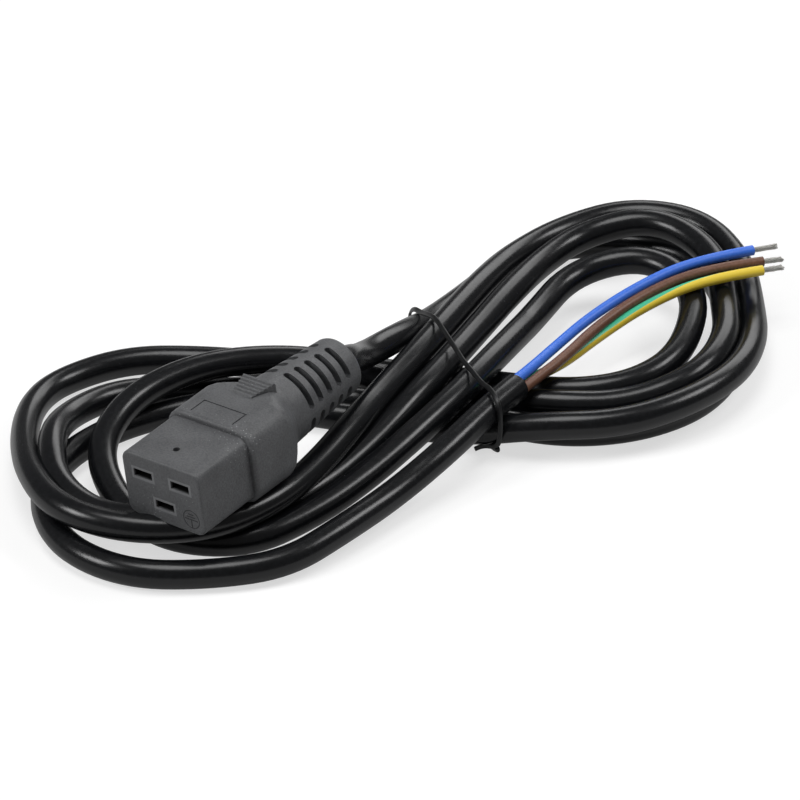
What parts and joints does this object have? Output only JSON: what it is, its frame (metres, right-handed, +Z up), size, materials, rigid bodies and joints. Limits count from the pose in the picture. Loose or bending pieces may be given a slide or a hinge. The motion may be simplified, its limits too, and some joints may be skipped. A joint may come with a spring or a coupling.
{
  "type": "iec c19 power connector on a cable",
  "caption": "Moulded 16 A appliance connector with slotted strain relief on a three-core lead tied in a figure-8 hank, far end stripped to three bare-ended cores.",
  "frame": {"origin": "centre of the hank's footprint, on the surface that it lies on", "axes": "+Z up; +X and +Y along the surface, with the two lobes of the hank lying from -X-Y to +X+Y, and the connector's cable leaving towards +X+Y"},
  "size_m": [0.2172, 0.1961, 0.0413],
  "materials": {
    "overmould": "fine pitted matte moulded PVC",
    "carrier": "satin moulded nylon",
    "contact_brass": "stamped",
    "tinned_copper": "bright tinned strands",
    "core_brown": "satin extruded PVC",
    "core_blue": "satin extruded PVC",
    "core_green_yellow": "satin extruded PVC, green and yellow stripes",
    "cable_sheath": "glossy extruded PVC",
    "tie_wire": "plastic coated twisted wire"
  },
  "bodies": {
    "root": {"connector_overmould": "overmould", "contact_carrier": "carrier", "line_contact": "contact_brass", "neutral_contact": "contact_brass", "earth_contact": "contact_brass", "line_conductor_inner": "tinned_copper", "neutral_conductor_inner": "tinned_copper", "earth_conductor_inner": "tinned_copper", "line_core_inner": "core_brown", "neutral_core_inner": "core_blue", "earth_core_inner": "core_green_yellow", "cable_in_relief": "cable_sheath", "cable_lead": "cable_sheath", "cable_coil": "cable_sheath", "cable_tail": "cable_sheath", "line_core": "core_brown", "neutral_core": "core_blue", "earth_core": "core_green_yellow", "line_bare_end": "tinned_copper", "neutral_bare_end": "tinned_copper", "earth_bare_end": "tinned_copper", "twist_tie": "tie_wire"}
  },
  "joints": []
}
